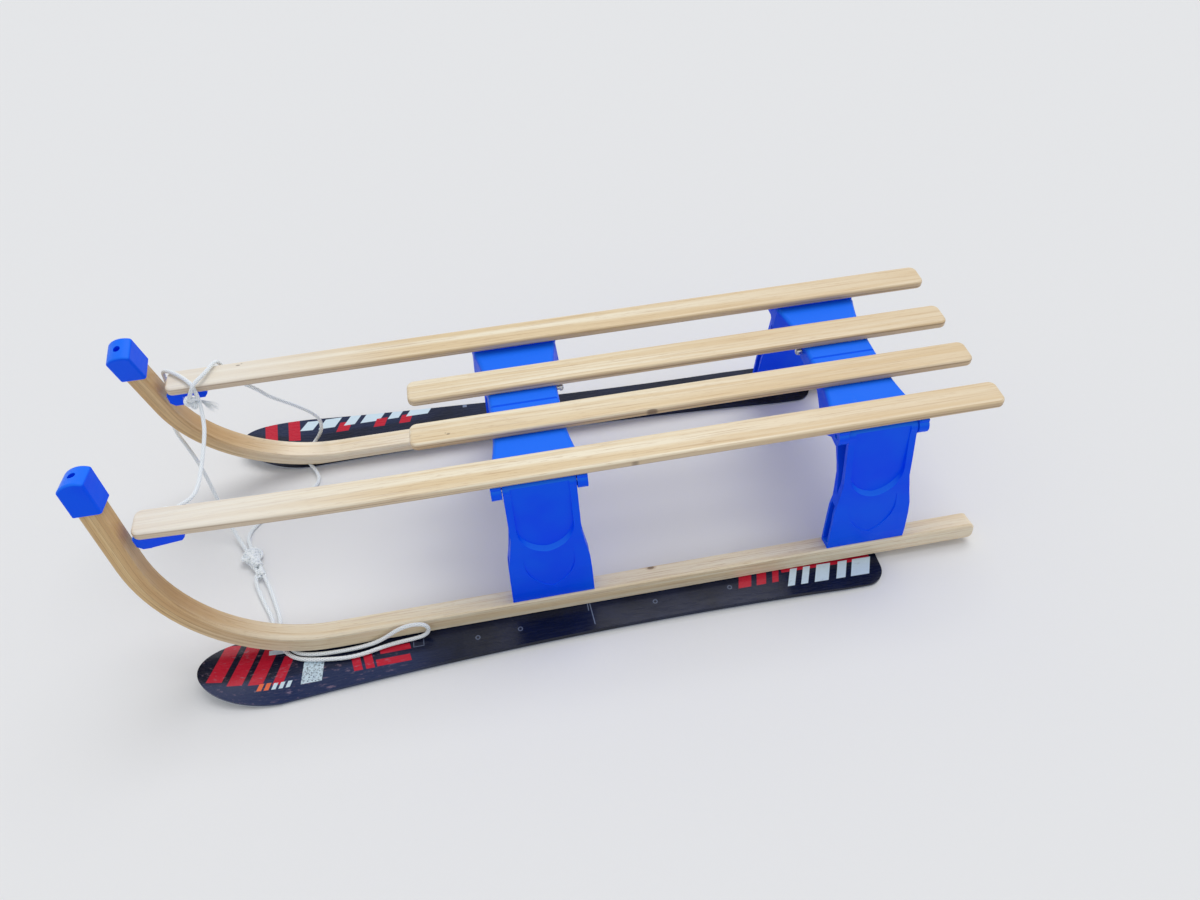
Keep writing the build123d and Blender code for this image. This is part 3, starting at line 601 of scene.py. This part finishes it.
for mid_x, mid_y in PLUGS:
    away = p.math("SQRT", p.square_sum(p.minus(ski_x, mid_x), p.minus(ski_y, mid_y)))
    ring = p.ramp(p.gap(away, PLUG_R), 0.9, 0.4)
    tone = p.tint(tone, PALE, p.times(ring, near_top), 0.6)
from_square = p.largest(p.gap(ski_x, SQUARE[0]), p.gap(ski_y, SQUARE[1]))
outline = p.ramp(p.gap(from_square, SQUARE_HALF), 0.6, 0.25)
tone = p.tint(tone, PALE, p.times(outline, near_top), 0.7)
# The metal edge lifts with the sole toward the tip
rise = p.largest(p.minus(TIP_RISE_X, p.times(ski_x, 1 / MM)), 0.0)
lift = p.over(p.times(rise, rise), 2 * TIP_RISE_R)
edge = p.times(p.ramp(p.minus(z, lift), *EDGE_FADE), p.ramp(facing_up, 0.5, 0.3))
p.color(p.mix(edge, tone, METAL))
p.rough(p.ramp(scratch, 0.4, 0.75, 0.24, 0.42))
p.bump(scratch, 0.00005, 0.3)

# Steel of the pins, with fine marks
BRIGHT_STEEL = srgb(200, 202, 206)
DULL_STEEL = srgb(150, 152, 158)
steel = Paint("steel", metallic=1.0)
p = steel
marks = p.noise(p.scaled((60.0, 900.0, 900.0)), 1.0, 3.0, 0.6)
p.color(p.mix(p.ramp(marks, 0.4, 0.7), BRIGHT_STEEL, DULL_STEEL))
p.rough(p.ramp(marks, 0.35, 0.7, 0.2, 0.42))
p.bump(marks, 0.00003, 0.3)

# Rope: off-white braid with painted shade between its strands, and slightly soiled
ROPE_GAP_PAINTED_SHADE = srgb(108, 138, 162)
ROPE_TOP = srgb(248, 252, 254)
ROPE_SOIL = srgb(206, 214, 216)
rope_white = Paint("rope", roughness=0.75, specular=0.2)
p = rope_white
fibre = p.noise(p.place, 1400.0, 2.0, 0.6)
soil = p.noise(p.place, 35.0, 3.0, 0.6)
# Painted shade: the low places of the weave, between the strands, are made grey-blue
tone = p.mix(p.ramp(p.attribute(WEAVE), 0.24, 0.68), ROPE_GAP_PAINTED_SHADE, ROPE_TOP)
tone = p.tint(tone, ROPE_SOIL, p.ramp(soil, 0.55, 0.8), 0.12)
p.color(tone)
p.bump(fibre, 0.00012, 0.6)

FINISH = {
    "slat_": slat_wood, "runner_": runner_wood, "ski_": ski_top, "end_cap_": blue, "front_bracket_": blue,
    "crossbeam_": blue, "centre_link_": blue, "leg_pin_": steel, "centre_pin_": steel, "leg_": blue,
    "rope_": rope_white,
}
for name, piece in nodes.items():
    start = next(key for key in FINISH if name.startswith(key))
    piece.data.materials.clear()
    piece.data.materials.append(FINISH[start].material)

# Rope strands, with the real length of each along its line, in metres
strands = {}
lines = {}
for name, route in ROUTES.items():
    lines[name] = nurbs_line(route)
# The bail is two pieces that meet halfway, one over each half of the seat
bail = lines.pop("bail")
halfway = len(bail) // 2
lines["bail_far"] = bail[:halfway + 1]
lines["bail_near"] = bail[halfway:][::-1]
for name, line in lines.items():
    strands[name] = braided("braid_" + name, line)
    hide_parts("rope_" + name.split("_")[0])
for side in ("far", "near"):
    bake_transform(strands["bail_" + side])
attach(strands["loop"], "side_near")
# These two run between the knot on the seat and a place below the leg's hinge
for name in ("front", "rear"):
    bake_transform(strands[name])

# Knots: lobes and wound turns of the same braid. Lengths in metres
UP = Vector((0, 0, 1))
LOBE_POINTS = 18  # of a whole knot
TURN_POINTS = 8  # of one turn
TUCK = 0.3  # share of the wound length, from its middle to where an end is tucked in
KNOT_STEP = 0.0006
# Weave value of a knot's filling: low enough to read as painted shade in the knot's gaps
CORE_PAINTED_SHADE_WEAVE = 0.45


def knot_line(centre, across, up, size, flat, strand=0.0):
    """Control points of an overhand knot's three lobes, in the plane of two axes."""
    across = Vector(across).normalized()
    normal = across.cross(Vector(up)).normalized()
    rise = normal.cross(across)
    points = []
    for k in range(LOBE_POINTS):
        t = 2 * math.pi * k / LOBE_POINTS
        reach = Vector((math.sin(t) + 2 * math.sin(2 * t), math.cos(t) - 2 * math.cos(2 * t)))
        out = reach.normalized() * strand
        x = reach.x * size + out.x
        y = reach.y * size + out.y
        z = -math.sin(3 * t) * flat
        points.append(Vector(centre) + across * x + rise * y + normal * z)
    return points


def wound_line(centre, axis, radius, length, turns, wide=1.0):
    """Control points of a few turns wound round a level axis, with both ends tucked in."""
    axis = Vector(axis).normalized()
    first = UP.cross(axis).normalized()
    second = axis.cross(first)
    count = int(turns * TURN_POINTS) + 1
    points = [centre - axis * (length * TUCK)]
    for k in range(count):
        t = k / (count - 1)
        angle = 2 * math.pi * turns * t
        place = centre + axis * (length * (t - 0.5))
        place += first * (radius * wide * math.cos(angle))
        place += second * (radius * math.sin(angle))
        points.append(place)
    points.append(centre + axis * (length * TUCK))
    return points


def join(name, pieces, body):
    """Joins mesh pieces into one, which rides on a body."""
    build = bmesh.new()
    build.verts.layers.float.new(WEAVE)
    for piece in pieces:
        build.from_mesh(piece.data)
    mesh = bpy.data.meshes.new(name)
    build.to_mesh(mesh)
    build.free()
    mesh.materials.append(rope_white.material)
    mesh.shade_smooth()
    for piece in pieces:
        bpy.data.objects.remove(piece)
    whole = bpy.data.objects.new(name, mesh)
    bpy.context.scene.collection.objects.link(whole)
    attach(whole, body)
    return whole


def knot_tube(points, closed=False):
    return braided("part", nurbs_line(points, closed), closed, KNOT_STEP)


def core(centre, ahead, radii):
    """A dense filling inside a knot, as deep as the gaps between its strands, coloured as painted shade by
    its low weave value.
    """
    build = bmesh.new()
    bmesh.ops.create_icosphere(build, subdivisions=3, radius=1.0)
    across = UP.cross(ahead)
    for vert in build.verts:
        x, y, z = vert.co
        vert.co = centre + across * (x * radii[0]) + ahead * (y * radii[1]) + UP * (z * radii[2])
    mesh = bpy.data.meshes.new("core")
    build.to_mesh(mesh)
    build.free()
    keep = mesh.attributes.new(WEAVE, "FLOAT", "POINT")
    keep.data.foreach_set("value", np.full(len(mesh.vertices), CORE_PAINTED_SHADE_WEAVE, np.float32))
    piece = bpy.data.objects.new("core", mesh)
    bpy.context.scene.collection.objects.link(piece)
    return piece


# The gather knot on the ground: an overhand knot in doubled rope, and a small knot below it
PAIR = 0.0026  # from the middle of the doubled rope to each strand
LOBE = 0.0035
LOBE_FLAT = 0.0034
OVER_LIFT = 0.0045
CORE_RADII = (0.0078, 0.0095, 0.0052)
# Two strands over the knot: share of the way to the small knot, of the shift sideways and of the lift
OVER = [(-0.5, 1.4, 0.0), (-0.25, 1.6, 1.0), (0.0, 0.8, 1.3), (0.3, -1.0, 1.0), (0.6, -1.3, 0.0)]
big = Vector((-0.408, -0.015, 0.0086))
small = Vector((-0.3965, -0.0415, 0.0068))
to_small = Vector((0.0115, -0.0265, 0.0))
aim = -to_small.normalized()
sideways = UP.cross(to_small).normalized()
hand_parts = [
    knot_tube(knot_line(big, -sideways, aim, LOBE, LOBE_FLAT, PAIR), closed=True),
    knot_tube(knot_line(big, -sideways, aim, LOBE, LOBE_FLAT, -PAIR), closed=True),
    knot_tube(wound_line(big + to_small * 0.42, to_small, radius=0.0056, length=0.011, turns=2.3)),
    knot_tube(wound_line(big - to_small * 0.1, to_small, radius=0.006, length=0.0135, turns=2.6,
                         wide=1.45)),
    knot_tube(wound_line(small, to_small, radius=0.0042, length=0.0066, turns=2.2)),
]
for offset in (-PAIR, PAIR):
    shift = sideways * offset
    points = [big + to_small * way + shift * share + UP * (OVER_LIFT * lift) for way, share, lift in OVER]
    points += [small - shift, small + to_small * 0.2 - shift * 1.2]
    hand_parts.append(knot_tube(points))
hand_parts.append(core(big, aim, CORE_RADII))
hand_knot = join("knot_hand", hand_parts, "side_near")
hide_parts("rope_knot_hand")


def tied_knot(name, centre, size, flat, body):
    """The upright overhand knot where the rope is tied to one half of the seat."""
    lobes = knot_line(centre, (1, 0, 0), (0, 0.2, 1), size, flat)
    return join(name, [knot_tube(lobes, closed=True)], body)


far_knot = tied_knot("knot_far", (-0.425, 0.0786, 0.203), size=0.0026, flat=0.0034, body="seat_far")
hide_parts("rope_knot_far")
near_knot = tied_knot("knot_near", (-0.432, -0.0862, 0.1975), size=0.0022, flat=0.003, body="seat_near")
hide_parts("rope_knot_near")

# The rope's cut end beside the far knot, opened into loose fibres. Lengths in metres
FIBRES = 70
FIBRE_CORNERS = 4
FIBRE_RADII = (0.00035, 0.00028, 0.00012)
FIBRE_WEAVE = 0.8
FIBRE_SCATTER = 0.001
FIBRE_SAG = UP * -0.001
rng = random.Random(5)
root = Vector((-0.416, 0.0835, 0.1985))
verts = []
faces = []
for _ in range(FIBRES):
    spread = Vector((rng.uniform(0.006, 0.019), rng.uniform(-0.011, -0.004), rng.uniform(-0.011, 0.0015)))
    begin = root + Vector([rng.uniform(-FIBRE_SCATTER, FIBRE_SCATTER) for axis in range(3)])
    faces += tube_faces(len(FIBRE_RADII), FIBRE_CORNERS, base=len(verts))
    for spot, radius in zip((begin, begin + spread * 0.5, begin + spread + FIBRE_SAG), FIBRE_RADII):
        for c in range(FIBRE_CORNERS):
            turn = 2 * math.pi * c / FIBRE_CORNERS
            verts.append(spot + Vector((0, math.cos(turn), math.sin(turn))) * radius)
fray = rope_piece("rope_fray", verts, faces, np.full(len(verts), FIBRE_WEAVE))
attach(fray, "seat_far")

# Stage: pale floor, white surroundings, soft light
FLOOR_HALF = 6
SKY = (0.96, 0.98, 1.0, 1)
SKY_LIGHT = 0.62
SKY_SEEN = 1.0
SUN_LIGHT = 1.25
SUN_WIDTH = math.radians(40)
SUN_AIM = Vector((-0.25, -0.35, -1.0))
corners = [(FLOOR_HALF * x, FLOOR_HALF * y, 0) for x, y in ((-1, -1), (1, -1), (1, 1), (-1, 1))]
floor_mesh = bpy.data.meshes.new("floor")
floor_mesh.from_pydata(corners, [], [(0, 1, 2, 3)])
floor = bpy.data.objects.new("floor", floor_mesh)
bpy.context.scene.collection.objects.link(floor)
floor_paint = Paint("floor", srgb(232, 232, 233), 0.9, specular=0.1)
floor_mesh.materials.append(floor_paint.material)

# The camera and reflections see the surroundings white, and their light on the sled is lower
world = bpy.data.worlds.new("world")
bpy.context.scene.world = world
world.use_nodes = True
tree = world.node_tree
rays = tree.nodes.new("ShaderNodeLightPath")
seen = tree.nodes.new("ShaderNodeMath")
seen.operation = "MAXIMUM"
tree.links.new(rays.outputs["Is Camera Ray"], seen.inputs[0])
tree.links.new(rays.outputs["Is Glossy Ray"], seen.inputs[1])
level = tree.nodes.new("ShaderNodeMix")
level.data_type = "FLOAT"
level.inputs[2].default_value = SKY_LIGHT
level.inputs[3].default_value = SKY_SEEN
tree.links.new(seen.outputs[0], level.inputs[0])
back = tree.nodes["Background"]
back.inputs["Color"].default_value = SKY
tree.links.new(level.outputs[0], back.inputs["Strength"])

sun_data = bpy.data.lights.new("sun", "SUN")
sun_data.energy = SUN_LIGHT
sun_data.angle = SUN_WIDTH
sun = bpy.data.objects.new("sun", sun_data)
sun.rotation_mode = "QUATERNION"
sun.rotation_quaternion = SUN_AIM.to_track_quat("-Z", "Y")
bpy.context.scene.collection.objects.link(sun)

bpy.context.scene.view_settings.view_transform = "Standard"
